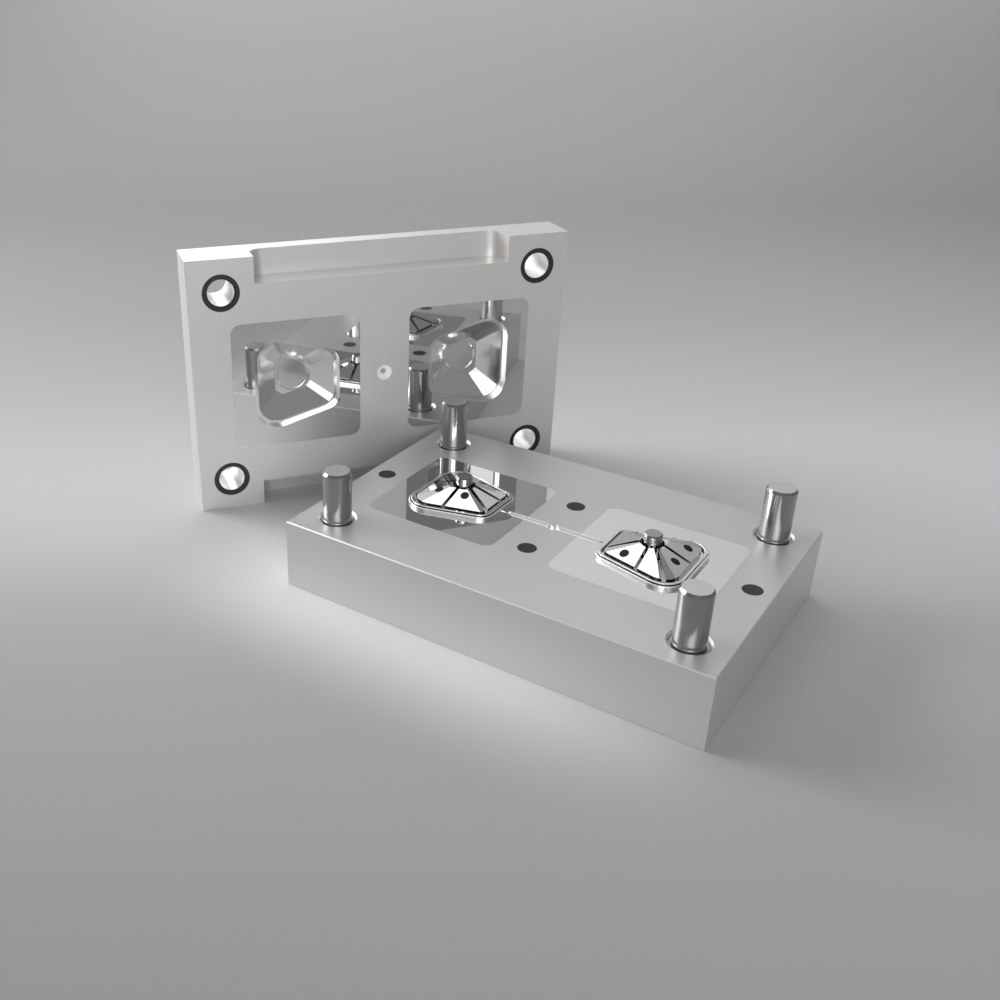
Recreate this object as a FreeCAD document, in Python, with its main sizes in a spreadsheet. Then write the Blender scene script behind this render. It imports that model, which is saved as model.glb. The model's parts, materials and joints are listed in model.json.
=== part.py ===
import FreeCAD, Part
import Sketcher
import os
from math import atan, cos, degrees, hypot, radians, sin
from types import SimpleNamespace

# Two-cavity injection mould, both halves, in millimetres.
# Origin: middle of the core half's underside. +Z up, +X along the core plate's long side.
# The core half lies on its back with the parting face up; the cavity half stands on a long edge behind it.

# Driving sizes
SIZES = {
    # Plates of both halves
    "plate_length": 300.0,
    "plate_width": 200.0,
    "plate_chamfer": 0.6,
    "core_plate_height": 50.0,
    "cavity_plate_thickness": 36.0,
    # Square inserts, two in each half
    "insert_end_land": 30.0,
    "insert_middle_land": 40.0,
    "insert_corner_radius": 8.0,
    "insert_gap": 0.03,
    "core_insert_thickness": 15.0,
    "cavity_insert_thickness": 26.0,
    "insert_screw_inset": 10.0,
    "insert_screw_diameter": 5.0,
    "insert_screw_grip": 8.0,
    "tap_runout": 1.0,
    # Moulding outline: a rounded trapezoid, wide at the outer end
    "outline_length": 67.0,
    "outline_middle_width": 64.0,
    "outline_taper": 0.277,
    "outline_outer_radius": 18.0,
    "outline_inner_radius": 13.0,
    "part_wall": 2.0,
    # Core form, heights above the parting face and widths from the outline inwards
    "platform_height": 2.4,
    "platform_edge_radius": 0.6,
    "ledge_width": 1.6,
    "lip_height": 3.4,
    "lip_width": 2.0,
    "lip_edge_radius": 0.5,
    "groove_width": 2.0,
    "groove_floor": 1.4,
    "facet_foot": 4.2,
    "facet_top": 11.2,
    "core_top_length": 17.0,
    "core_top_width": 15.0,
    "core_top_cut": 2.5,
    "rib_slot_width": 2.4,
    "rib_slot_floor": 2.4,
    "boss_groove_width": 1.8,
    # Centre pin of each core
    "core_pin_diameter": 12.0,
    "core_pin_chamfer": 0.8,
    "core_pin_head_diameter": 17.0,
    "core_pin_head_height": 4.0,
    # Cavity form, depths behind the parting face
    "cavity_ring": 3.6,
    "cavity_depth": 17.0,
    "floor_length": 28.0,
    "floor_width": 26.8,
    "floor_outer_cut": 6.0,
    "floor_inner_cut": 3.5,
    "shutoff_recess": 1.0,
    "shutoff_bevel": 0.6,
    "cavity_pin_diameter": 24.0,
    "cavity_pin_head_diameter": 29.0,
    "cavity_pin_head_height": 3.0,
    # Guide pins and bushes
    "guide_inset": 25.0,
    "guide_pin_diameter": 20.0,
    "guide_pin_reach": 36.0,
    "guide_shank_diameter": 21.0,
    "guide_pin_chamfer": 1.6,
    "guide_pin_head_diameter": 25.0,
    "guide_pin_head_height": 6.0,
    "guide_relief_diameter": 24.0,
    "guide_relief_depth": 3.0,
    "guide_relief_bevel": 1.4,
    "guide_running_gap": 0.03,
    "bush_diameter": 28.0,
    "bush_lead_in": 1.0,
    "bush_head_diameter": 33.0,
    "bush_head_height": 6.0,
    "fixed_gap": 0.01,
    # Ejection
    "ejector_stroke": 6.0,
    "end_wall": 5.5,
    "cover_ledge": 14.6,
    "ejector_plate_height": 8.0,
    "retainer_height": 6.0,
    "ejector_pocket_gap": 0.5,
    "ejector_screw_diameter": 5.0,
    "ejector_screw_inset_x": 20.0,
    "ejector_screw_inset_y": 10.0,
    "back_cover_height": 5.0,
    "guide_head_wall": 1.4,
    "back_cover_gap": 0.1,
    "cover_screw_diameter": 5.0,
    "cover_screw_inset_x": 32.0,
    "cover_screw_inset_y": 7.5,
    "cover_screw_length": 14.0,
    "knockout_hole_diameter": 24.0,
    "knockout_tap_diameter": 8.5,
    "return_pin_diameter": 13.0,
    "return_pin_head_diameter": 15.0,
    "return_pin_inset_x": 8.0,
    "return_pin_inset_y": 10.5,
    "ejector_pin_diameter": 6.0,
    "ejector_pin_head_diameter": 10.0,
    "pin_head_height": 3.0,
    "pin_slide_gap": 0.02,
    # Feed system
    "runner_width": 5.0,
    "gate_length": 4.5,
    "gate_width": 2.0,
    "gate_depth": 1.0,
    "slug_well_diameter": 9.0,
    "slug_well_depth": 3.0,
    "sprue_puller_diameter": 8.0,
    "sprue_bush_diameter": 12.4,
    "sprue_bush_head_diameter": 30.0,
    "sprue_bush_head_height": 8.0,
    "sprue_small_diameter": 3.0,
    "sprue_large_diameter": 4.6,
    "sprue_flare_diameter": 11.0,
    "sprue_flare_depth": 3.0,
    "nozzle_seat_radius": 16.0,
    "nozzle_seat_depth": 3.0,
    # Edge notches of the cavity plate
    "notch_length": 200.0,
    "notch_height": 20.0,
    "notch_depth": 22.0,
    "notch_corner_radius": 10.0,
    # Tapped holes for the press's clamping plates
    "clamp_tap_diameter": 8.5,
    "clamp_tap_depth": 20.0,
    "clamp_inset_x": 60.0,
    "clamp_inset_y": 32.0,
    # Where the cavity half stands: its lower front left corner on the floor, and its turn
    "stand_x": -273.5,
    "stand_y": -56.5,
    "stand_turn": 53.0,
}

# Directions of the rib slots that part the facets of each core, in degrees from +X
LEFT_SLOTS = (12.0, 110.0, 176.0, 266.0, 334.0)
RIGHT_SLOTS = (2.0, 75.0, 136.0, 204.0, 270.0, 306.0)

# Ejector pin places on each core, from its middle
LEFT_EJECTORS = ((-12.0, -13.5), (7.2, -10.8), (5.0, 16.5))
RIGHT_EJECTORS = ((-11.8, -15.5), (18.8, -7.2), (19.0, 13.5))


class Size:
    """A number together with the spreadsheet formula that gives it."""

    def __init__(self, value, text):
        self.value = value
        self.text = text

    def __add__(self, other):
        return join_sizes(self, other, "+")

    def __radd__(self, other):
        return join_sizes(other, self, "+")

    def __sub__(self, other):
        return join_sizes(self, other, "-")

    def __rsub__(self, other):
        return join_sizes(other, self, "-")

    def __mul__(self, other):
        return join_sizes(self, other, "*")

    def __rmul__(self, other):
        return join_sizes(other, self, "*")

    def __truediv__(self, other):
        return join_sizes(self, other, "/")

    def __neg__(self):
        return join_sizes(0, self, "-")


def as_size(item):
    if isinstance(item, Size):
        return item
    return Size(float(item), repr(float(item)))


def join_sizes(first, second, sign):
    a, b = as_size(first), as_size(second)
    if sign == "+":
        value = a.value + b.value
    elif sign == "-":
        value = a.value - b.value
    elif sign == "*":
        value = a.value * b.value
    else:
        value = a.value / b.value
    return Size(value, f"({a.text} {sign} {b.text})")


def make_sheet(doc):
    """The spreadsheet of driving sizes, and the same sizes as names for the code."""
    sheet = doc.addObject("Spreadsheet::Sheet", "Sizes")
    for row, (name, number) in enumerate(SIZES.items(), start=1):
        sheet.set(f"A{row}", name)
        sheet.set(f"B{row}", str(number))
        sheet.setAlias(f"B{row}", name)
    doc.recompute()
    return SimpleNamespace(**{name: Size(float(getattr(sheet, name)), f"Sizes.{name}") for name in SIZES})


doc = FreeCAD.newDocument("InjectionMould")
s = make_sheet(doc)
pieces = []


def bind(obj, prop, size):
    """Sets a property to a size and ties it to the spreadsheet."""
    item = as_size(size)
    if isinstance(size, Size):
        obj.setExpression(prop, item.text)
    elif "." not in prop:
        setattr(obj, prop, item.value)


def new_body(label):
    body = doc.addObject("PartDesign::Body", label)
    body.Label = label
    return body


def origin_part(body, role):
    return next(item for item in body.Origin.OriginFeatures if item.Role == role)


def new_sketch(body, name, role="XY_Plane", height=0.0, turn=0.0, tilt=0.0):
    """A sketch on one of the body's own planes, raised, tilted about its X axis and turned about Z."""
    sketch = body.newObject("Sketcher::SketchObject", name)
    sketch.AttachmentSupport = [(origin_part(body, role), "")]
    sketch.MapMode = "FlatFace"
    turned = FreeCAD.Rotation(FreeCAD.Vector(0, 0, 1), turn)
    tilted = FreeCAD.Rotation(FreeCAD.Vector(0, 1, 0), tilt)
    base = FreeCAD.Vector(0, 0, as_size(height).value)
    sketch.AttachmentOffset = FreeCAD.Placement(base, turned * tilted)
    if isinstance(height, Size):
        sketch.setExpression("AttachmentOffset.Base.z", height.text)
    return sketch


def fix_point(sketch, geometry, point, x, y):
    """Holds one point of the sketch at (x, y), each tied to its formula."""
    for kind, axis, item in (("DistanceX", -2, as_size(x)), ("DistanceY", -1, as_size(y))):
        if abs(item.value) < 1e-9:
            sketch.addConstraint(Sketcher.Constraint("PointOnObject", geometry, point, axis))
            continue
        index = sketch.addConstraint(Sketcher.Constraint(kind, -1, 1, geometry, point, item.value))
        sketch.setExpression(f"Constraints[{index}]", item.text)


def polygon(sketch, corners):
    """A closed outline through the corners, each corner tied to its formulas."""
    first = sketch.GeometryCount
    places = [FreeCAD.Vector(as_size(x).value, as_size(y).value, 0) for x, y in corners]
    count = len(places)
    for i in range(count):
        sketch.addGeometry(Part.LineSegment(places[i], places[(i + 1) % count]))
    for i in range(count):
        here, following = first + i, first + (i + 1) % count
        sketch.addConstraint(Sketcher.Constraint("Coincident", here, 2, following, 1))
    for i, (x, y) in enumerate(corners):
        fix_point(sketch, first + i, 1, x, y)


def rectangle(sketch, length, width, x=0.0, y=0.0):
    polygon(sketch, [(x - length / 2, y - width / 2), (x + length / 2, y - width / 2),
                     (x + length / 2, y + width / 2), (x - length / 2, y + width / 2)])


def circles(sketch, diameter, centres):
    for x, y in centres:
        place = FreeCAD.Vector(as_size(x).value, as_size(y).value, 0)
        index = sketch.addGeometry(Part.Circle(place, FreeCAD.Vector(0, 0, 1), as_size(diameter).value / 2))
        fix_point(sketch, index, 3, x, y)
        constraint = sketch.addConstraint(Sketcher.Constraint("Diameter", index, as_size(diameter).value))
        sketch.setExpression(f"Constraints[{constraint}]", as_size(diameter).text)


def pad(body, sketch, length, down=False):
    feature = body.newObject("PartDesign::Pad", "Pad")
    feature.Profile = sketch
    bind(feature, "Length", length)
    feature.Reversed = down
    doc.recompute()
    return feature


def pocket(body, sketch, length, up=False):
    """Cuts the sketch's outline down from its plane, or up, and makes sure that it cuts."""
    before = body.Shape.Volume
    feature = body.newObject("PartDesign::Pocket", "Pocket")
    feature.Profile = sketch
    bind(feature, "Length", length)
    feature.Reversed = up
    doc.recompute()
    if not body.Shape.Volume < before - 1e-6:
        raise RuntimeError(f"a pocket of {body.Label} cuts nothing: {sketch.Name}")
    return feature


def revolve(body, sketch):
    feature = body.newObject("PartDesign::Revolution", "Revolution")
    feature.Profile = sketch
    feature.ReferenceAxis = (sketch, ["V_Axis"])
    feature.Angle = 360.0
    doc.recompute()
    return feature


def fillet_edges(body, radius, chosen):
    """Rounds the edges of the body's last feature that the chosen rule picks."""
    base = body.Tip
    names = [f"Edge{i}" for i, edge in enumerate(base.Shape.Edges, start=1) if chosen(edge)]
    feature = body.newObject("PartDesign::Fillet", "Fillet")
    feature.Base = (base, names)
    bind(feature, "Radius", radius)
    doc.recompute()
    if not names or "Invalid" in feature.State:
        raise RuntimeError(f"a fillet of {body.Label} fails on {len(names)} edges")
    return feature


def chamfer_edges(body, size, chosen):
    base = body.Tip
    names = [f"Edge{i}" for i, edge in enumerate(base.Shape.Edges, start=1) if chosen(edge)]
    feature = body.newObject("PartDesign::Chamfer", "Chamfer")
    feature.Base = (base, names)
    bind(feature, "Size", size)
    doc.recompute()
    return feature


def upright(edge):
    ends = edge.Vertexes
    if len(ends) != 2:
        return False
    run = ends[1].Point - ends[0].Point
    return hypot(run.x, run.y) < 1e-6 < abs(run.z)


def seat_corner(low, high):
    """Picks the upright corner edges of the insert pockets between two heights."""
    half_seat = insert_side.value / 2 + s.insert_gap.value

    def chosen(edge):
        box = edge.BoundBox
        inside = low - 1e-4 <= box.ZMin and box.ZMax <= high + 1e-4
        return upright(edge) and inside and abs(abs(box.Center.y) - half_seat) < 1e-4

    return chosen


def rim_rule(height, half_length, half_width):
    """Picks the level edges on the outer sides of a plate at one height."""

    def chosen(edge):
        box = edge.BoundBox
        if abs(box.ZMin - height) > 1e-4 or abs(box.ZMax - height) > 1e-4:
            return False
        on_end = abs(abs(box.Center.x) - half_length) < 1e-4 and box.XLength < 1e-4
        on_side = abs(abs(box.Center.y) - half_width) < 1e-4 and box.YLength < 1e-4
        return on_end or on_side

    return chosen


def outer_rim(shape, height):
    """Edges of the outer loop of the level face at one height."""
    for face in shape.Faces:
        box = face.BoundBox
        if abs(box.ZMin - height) < 1e-4 and abs(box.ZMax - height) < 1e-4:
            return face.OuterWire.Edges
    return []


def keep(piece, placement=None):
    """Adds a finished piece to the list that is checked and written."""
    if placement is not None:
        piece.Placement = placement
    pieces.append(piece)
    return piece


def turned(label, profile, placement=None, keep_it=True):
    """A turned piece: a closed half profile of (radius, height) corners, revolved about Z."""
    body = new_body(label)
    sketch = new_sketch(body, label + "_profile", role="XZ_Plane")
    polygon(sketch, profile)
    revolve(body, sketch)
    if keep_it:
        keep(body, placement)
    elif placement is not None:
        body.Placement = placement
    return body


def group(label, copies, placement=None):
    """Several like pieces in one node, each its own solid."""
    compound = doc.addObject("Part::Compound", label)
    compound.Label = label
    compound.Links = copies
    doc.recompute()
    return keep(compound, placement)


def at(x, y, z):
    return FreeCAD.Placement(FreeCAD.Vector(as_size(x).value, as_size(y).value, as_size(z).value), FreeCAD.Rotation())


def signs(x, y):
    """The four places (x, y) mirrored about both axes, front left first."""
    return [(-x, -y), (x, -y), (-x, y), (x, y)]


# Heights in the core half, from the floor
cover_top = s.back_cover_height
ejector_top = cover_top + s.ejector_plate_height
retainer_top = ejector_top + s.retainer_height
pocket_top = retainer_top + s.ejector_stroke
insert_base = s.core_plate_height - s.core_insert_thickness
parting = s.core_plate_height

slant = Size((1 + s.outline_taper.value ** 2) ** 0.5, "sqrt(1 + Sizes.outline_taper * Sizes.outline_taper)")
cavity_wall = s.platform_height + s.part_wall
insert_side = (s.plate_length - s.insert_middle_land) / 2 - s.insert_end_land
insert_x = (insert_side + s.insert_middle_land) / 2
guide_x = s.plate_length / 2 - s.guide_inset
guide_y = s.plate_width / 2 - s.guide_inset
screw_step = insert_side / 2 - s.insert_screw_inset
insert_screws = signs(screw_step, screw_step)
sides = {"left": -1.0, "right": 1.0}
slots = {"left": LEFT_SLOTS, "right": RIGHT_SLOTS}
ejectors = {"left": LEFT_EJECTORS, "right": RIGHT_EJECTORS}
guide_places = signs(guide_x, guide_y)
clamp_places = signs(s.plate_length / 2 - s.clamp_inset_x, s.plate_width / 2 - s.clamp_inset_y)

# The ejector pocket and its cover reach as far as the plate's ends and the guide pins' heads allow
pocket_length = s.plate_length - 2 * s.end_wall
cover_length = pocket_length - 2 * s.back_cover_gap
cover_seat_width = 2 * (guide_y - s.guide_head_wall) - s.guide_pin_head_diameter
cover_width = cover_seat_width - 2 * s.back_cover_gap
pocket_width = cover_seat_width - 2 * s.cover_ledge
ejector_length = pocket_length - 2 * s.ejector_pocket_gap
ejector_width = pocket_width - 2 * s.ejector_pocket_gap
return_x = ejector_length / 2 - s.return_pin_inset_x
return_y = ejector_width / 2 - s.return_pin_inset_y
return_places = {
    "left": (-return_x, 0.0),
    "right": (return_x, 0.0),
    "front": (0.0, -return_y),
    "rear": (0.0, return_y),
}
cover_screw_y = cover_width / 2 - s.cover_screw_inset_y
cover_screws = signs(ejector_length / 2 - s.cover_screw_inset_x, cover_screw_y)
cover_screws += [(0.0, -cover_screw_y), (0.0, cover_screw_y)]
ejector_screws = signs(ejector_length / 2 - s.ejector_screw_inset_x, ejector_width / 2 - s.ejector_screw_inset_y)


def screw_head(diameter):
    """Head diameter and height of a socket head screw."""
    return diameter * 1.7, diameter


def trapezoid(side, half, middle, outer_cut=None, inner_cut=None):
    """A trapezoid, wide at its outer end; with cuts, each corner becomes a short slanting edge."""
    taper = s.outline_taper
    outer, inner = middle + half * taper, middle - half * taper
    ends = [(1, -1, outer), (1, 1, outer), (-1, 1, inner), (-1, -1, inner)]
    corners = []
    for index, (x, y, height) in enumerate(ends):
        if outer_cut is None:
            corners.append((side * x * half, y * height))
            continue
        cut = outer_cut if x > 0 else inner_cut
        on_end = (side * x * half, y * (height - cut))
        on_side = (side * x * (half - cut / slant), y * (height - x * cut * taper / slant))
        corners += [on_side, on_end] if index % 2 == 0 else [on_end, on_side]
    return corners if side > 0 else corners[::-1]


def outline_corners(side, inset):
    """The moulding's trapezoid, moved in by the inset on every side."""
    return trapezoid(side, s.outline_length / 2 - inset, s.outline_middle_width / 2 - inset * slant)


def cut_outline(side, inset):
    """The same trapezoid with corners cut where the rounded outline's arcs would lie."""
    cuts = []
    for radius, lean in ((s.outline_outer_radius, 1), (s.outline_inner_radius, -1)):
        corner = radians(90) - lean * atan(s.outline_taper.value)
        share = (1 / sin(corner / 2) - 1) / cos(corner / 2)
        cuts.append((radius - inset) * share)
    half, middle = s.outline_length / 2 - inset, s.outline_middle_width / 2 - inset * slant
    return trapezoid(side, half, middle, *cuts)


def corner_arcs(side, inset, height=0.0):
    """The four rounded corners of the trapezoid: start, middle, finish, centre and radius of each."""
    corners = [FreeCAD.Vector(x.value, y.value, height) for x, y in outline_corners(side, inset)]
    arcs = []
    for i, here in enumerate(corners):
        before, after = corners[i - 1], corners[(i + 1) % 4]
        wide = here.x * side > 0
        size = (s.outline_outer_radius if wide else s.outline_inner_radius) - inset
        back, ahead = (before - here).normalize(), (after - here).normalize()
        half_angle = back.getAngle(ahead) / 2
        run = size.value * cos(half_angle) / sin(half_angle)
        bisector = (back + ahead).normalize()
        centre = here + bisector * (size.value / sin(half_angle))
        start, finish = here + back * run, here + ahead * run
        arcs.append((start, centre - bisector * size.value, finish, centre, size))
    return arcs


def outline(sketch, side, inset):
    """Draws the rounded trapezoid: sides through four fixed corner points, joined by tangent arcs."""
    arcs = corner_arcs(side, inset)
    points = []
    for x, y in outline_corners(side, inset):
        place = FreeCAD.Vector(x.value, y.value, 0)
        index = sketch.addGeometry(Part.Point(place), True)
        fix_point(sketch, index, 1, x, y)
        points.append(index)
    lines, rounds = [], []
    for i in range(4):
        lines.append(sketch.addGeometry(Part.LineSegment(arcs[i][2], arcs[(i + 1) % 4][0])))
        rounds.append(sketch.addGeometry(Part.Arc(arcs[i][0], arcs[i][1], arcs[i][2])))
    for i in range(4):
        first = sketch.Geometry[rounds[i]].StartPoint
        at_start, at_finish = (1, 2) if first.distanceToPoint(arcs[i][0]) < 1e-6 else (2, 1)
        sketch.addConstraint(Sketcher.Constraint("Tangent", lines[i - 1], 2, rounds[i], at_start))
        sketch.addConstraint(Sketcher.Constraint("Tangent", rounds[i], at_finish, lines[i], 1))
        sketch.addConstraint(Sketcher.Constraint("PointOnObject", points[i], 1, lines[i]))
        sketch.addConstraint(Sketcher.Constraint("PointOnObject", points[(i + 1) % 4], 1, lines[i]))
        index = sketch.addConstraint(Sketcher.Constraint("Radius", rounds[i], arcs[i][4].value))
        sketch.setExpression(f"Constraints[{index}]", arcs[i][4].text)


def runner_channel(body, face, start, length):
    """Cuts a half-round runner along X into a face, from one place over a length."""
    channel = new_sketch(body, "runner", role="YZ_Plane", height=start)
    circles(channel, s.runner_width, [(0.0, face)])
    pocket(body, channel, length, up=True)


def core_insert(name):
    """A mirror-polished insert: slotted facets round a boss, a groove, a lip and a ledge."""
    side = sides[name]
    body = new_body(f"core_insert_{name}")
    thickness = s.core_insert_thickness
    platform_inset = s.part_wall
    lip_inset = platform_inset + s.ledge_width
    groove_inset = lip_inset + s.lip_width
    core_inset = groove_inset + s.groove_width

    root = new_sketch(body, "core_root", height=thickness)
    polygon(root, cut_outline(side, core_inset))
    pad(body, root, s.facet_foot)
    foot = new_sketch(body, "facet_foot", height=thickness + s.facet_foot)
    polygon(foot, cut_outline(side, core_inset))
    crown = new_sketch(body, "facet_crown", height=thickness + s.facet_top)
    polygon(crown, trapezoid(side, s.core_top_length / 2, s.core_top_width / 2, s.core_top_cut, s.core_top_cut))
    loft = body.newObject("PartDesign::AdditiveLoft", "facets")
    loft.Profile = foot
    loft.Sections = [crown]
    loft.Ruled = True
    doc.recompute()
    trim = new_sketch(body, "core_trim", height=thickness)
    rectangle(trim, insert_side, insert_side)
    outline(trim, side, core_inset)
    pocket(body, trim, s.facet_top, up=True)
    for number, direction in enumerate(slots[name], start=1):
        slot = new_sketch(body, f"rib_slot_{number}", height=thickness + s.rib_slot_floor, turn=direction)
        rectangle(slot, s.outline_length, s.rib_slot_width, x=s.outline_length / 2)
        pocket(body, slot, s.facet_top, up=True)
    ring = new_sketch(body, "boss_groove", height=thickness + s.rib_slot_floor)
    circles(ring, s.core_pin_diameter + 2 * s.boss_groove_width, [(0.0, 0.0)])
    pocket(body, ring, s.facet_top, up=True)

    block = new_sketch(body, "block")
    rectangle(block, insert_side, insert_side)
    pad(body, block, thickness)
    on_corner = insert_side.value / 2

    def block_corner(edge):
        box = edge.BoundBox
        return upright(edge) and abs(abs(box.Center.x) - on_corner) < 1e-4 and abs(abs(box.Center.y) - on_corner) < 1e-4

    fillet_edges(body, s.insert_corner_radius, block_corner)
    floor = new_sketch(body, "groove_floor", height=thickness)
    outline(floor, side, groove_inset)
    pad(body, floor, s.groove_floor)
    platform = new_sketch(body, "platform", height=thickness)
    outline(platform, side, platform_inset)
    outline(platform, side, groove_inset)
    pad(body, platform, s.platform_height)
    rim = outer_rim(body.Tip.Shape, (thickness + s.platform_height).value)
    fillet_edges(body, s.platform_edge_radius, lambda edge: any(edge.isSame(item) for item in rim))
    lip = new_sketch(body, "lip", height=thickness + s.platform_height)
    outline(lip, side, lip_inset)
    outline(lip, side, groove_inset)
    pad(body, lip, s.lip_height - s.platform_height)
    lip_top = (thickness + s.lip_height).value

    def lip_edge(edge):
        box = edge.BoundBox
        return abs(box.ZMin - lip_top) < 1e-4 and abs(box.ZMax - lip_top) < 1e-4

    fillet_edges(body, s.lip_edge_radius, lip_edge)

    bore = new_sketch(body, "core_pin_bore")
    circles(bore, s.core_pin_diameter + 2 * s.fixed_gap, [(0.0, 0.0)])
    pocket(body, bore, thickness + s.facet_top, up=True)
    seat = new_sketch(body, "core_pin_seat")
    circles(seat, s.core_pin_head_diameter + 2 * s.fixed_gap, [(0.0, 0.0)])
    pocket(body, seat, s.core_pin_head_height, up=True)
    holes = new_sketch(body, "ejector_holes")
    circles(holes, s.ejector_pin_diameter + 2 * s.pin_slide_gap, ejectors[name])
    pocket(body, holes, thickness + s.facet_top, up=True)
    taps = new_sketch(body, "screw_holes")
    circles(taps, s.insert_screw_diameter, insert_screws)
    pocket(body, taps, s.insert_screw_grip + s.tap_runout, up=True)

    gate_end = s.outline_length / 2 - s.part_wall
    runner_end = gate_end + s.gate_length
    runner_start = runner_end if side < 0 else -insert_side / 2
    runner_channel(body, thickness, runner_start, insert_side / 2 - runner_end)
    gate = new_sketch(body, "gate", height=thickness)
    rectangle(gate, runner_end - gate_end, s.gate_width, x=-side * (runner_end + gate_end) / 2)
    pocket(body, gate, s.gate_depth)
    return keep(body, at(side * insert_x, 0.0, insert_base))


def core_plate():
    """The flat half's plate: insert pockets above, ejector pocket below, and every pin's hole."""
    body = new_body("core_plate")
    block = new_sketch(body, "block")
    rectangle(block, s.plate_length, s.plate_width)
    pad(body, block, s.core_plate_height)
    half_length, half_width = s.plate_length.value / 2, s.plate_width.value / 2
    top_rim = rim_rule(parting.value, half_length, half_width)
    bottom_rim = rim_rule(0.0, half_length, half_width)
    chamfer_edges(body, s.plate_chamfer, lambda edge: top_rim(edge) or bottom_rim(edge))

    seats = new_sketch(body, "insert_seats", height=parting)
    wide = insert_side + 2 * s.insert_gap
    for side in sides.values():
        rectangle(seats, wide, wide, x=side * insert_x)
    pocket(body, seats, s.core_insert_thickness)
    fillet_edges(body, s.insert_corner_radius, seat_corner(insert_base.value, parting.value))

    cover_seat = new_sketch(body, "cover_seat")
    rectangle(cover_seat, pocket_length, cover_seat_width)
    pocket(body, cover_seat, cover_top, up=True)
    well = new_sketch(body, "ejector_pocket", height=cover_top)
    rectangle(well, pocket_length, pocket_width)
    pocket(body, well, pocket_top - cover_top, up=True)

    guide_holes = new_sketch(body, "guide_pin_holes")
    circles(guide_holes, s.guide_shank_diameter + 2 * s.fixed_gap, guide_places)
    pocket(body, guide_holes, parting, up=True)
    guide_seats = new_sketch(body, "guide_pin_seats")
    circles(guide_seats, s.guide_pin_head_diameter + 2 * s.fixed_gap, guide_places)
    pocket(body, guide_seats, s.guide_pin_head_height, up=True)
    reliefs = new_sketch(body, "guide_pin_reliefs", height=parting)
    circles(reliefs, s.guide_relief_diameter, guide_places)
    pocket(body, reliefs, s.guide_relief_depth)
    relief_radius = s.guide_relief_diameter.value / 2

    def relief_rim(edge):
        curve = edge.Curve
        level = abs(edge.BoundBox.ZMin - parting.value) < 1e-4
        return level and isinstance(curve, Part.Circle) and abs(curve.Radius - relief_radius) < 1e-4

    chamfer_edges(body, s.guide_relief_bevel, relief_rim)

    web = parting - pocket_top
    returns = new_sketch(body, "return_pin_holes", height=pocket_top)
    circles(returns, s.return_pin_diameter + 2 * s.pin_slide_gap, return_places.values())
    pocket(body, returns, web, up=True)
    puller = new_sketch(body, "sprue_puller_hole", height=pocket_top)
    circles(puller, s.sprue_puller_diameter + 2 * s.pin_slide_gap, [(0.0, 0.0)])
    pocket(body, puller, web, up=True)
    slug = new_sketch(body, "slug_well", height=parting)
    circles(slug, s.slug_well_diameter, [(0.0, 0.0)])
    pocket(body, slug, s.slug_well_depth)

    head, head_height = screw_head(s.insert_screw_diameter)
    for name, side in sides.items():
        centre = side * insert_x
        pins = new_sketch(body, f"ejector_holes_{name}", height=pocket_top)
        circles(pins, s.ejector_pin_diameter + 2 * s.pin_slide_gap, [(centre + x, y) for x, y in ejectors[name]])
        pocket(body, pins, web, up=True)
        screws = new_sketch(body, f"insert_screw_holes_{name}", height=pocket_top)
        places = [(centre + x, y) for x, y in insert_screws]
        circles(screws, s.insert_screw_diameter + 2 * s.fixed_gap, places)
        pocket(body, screws, insert_base - pocket_top, up=True)
        heads = new_sketch(body, f"insert_screw_seats_{name}", height=pocket_top)
        circles(heads, head + 2 * s.fixed_gap, places)
        pocket(body, heads, head_height, up=True)

    cover_taps = new_sketch(body, "cover_screw_holes", height=cover_top)
    circles(cover_taps, s.cover_screw_diameter, cover_screws)
    pocket(body, cover_taps, s.cover_screw_length - cover_top + s.tap_runout, up=True)
    clamps = new_sketch(body, "clamp_taps")
    circles(clamps, s.clamp_tap_diameter, clamp_places)
    pocket(body, clamps, s.clamp_tap_depth, up=True)

    rail = s.insert_middle_land - 2 * s.insert_gap
    runner_channel(body, parting, -rail / 2, rail)
    return keep(body, at(0.0, 0.0, 0.0))


def guide_pin(name, x, y):
    """A shouldered guide pin: head in the core plate's back, thicker shank, bevelled free end."""
    radius, shank = s.guide_pin_diameter / 2, s.guide_shank_diameter / 2
    head = s.guide_pin_head_diameter / 2
    top = parting + s.guide_pin_reach
    bevel = s.guide_pin_chamfer
    profile = [(0.0, 0.0), (head, 0.0), (head, s.guide_pin_head_height), (shank, s.guide_pin_head_height),
               (shank, parting), (radius, parting), (radius, top - bevel), (radius - bevel * 0.8, top), (0.0, top)]
    return turned(f"guide_pin_{name}", profile, at(x, y, 0.0))


def headed_pin(label, diameter, head_diameter, x, y, top, keep_it=True):
    """A pin with its head held in the retainer plate, on top of the ejector plate."""
    head, radius = head_diameter / 2, diameter / 2
    length = top - ejector_top
    profile = [(0.0, 0.0), (head, 0.0), (head, s.pin_head_height), (radius, s.pin_head_height),
               (radius, length), (0.0, length)]
    return turned(label, profile, at(x, y, ejector_top), keep_it)


def core_pin(name):
    """The round boss in the middle of a core, a turned pin with its head under the insert."""
    radius, head = s.core_pin_diameter / 2, s.core_pin_head_diameter / 2
    top = s.core_insert_thickness + s.cavity_depth + s.shutoff_recess
    bevel = s.core_pin_chamfer
    profile = [(0.0, 0.0), (head, 0.0), (head, s.core_pin_head_height), (radius, s.core_pin_head_height),
               (radius, top - bevel), (radius - bevel, top), (0.0, top)]
    return turned(f"core_pin_{name}", profile, at(sides[name] * insert_x, 0.0, insert_base))


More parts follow.
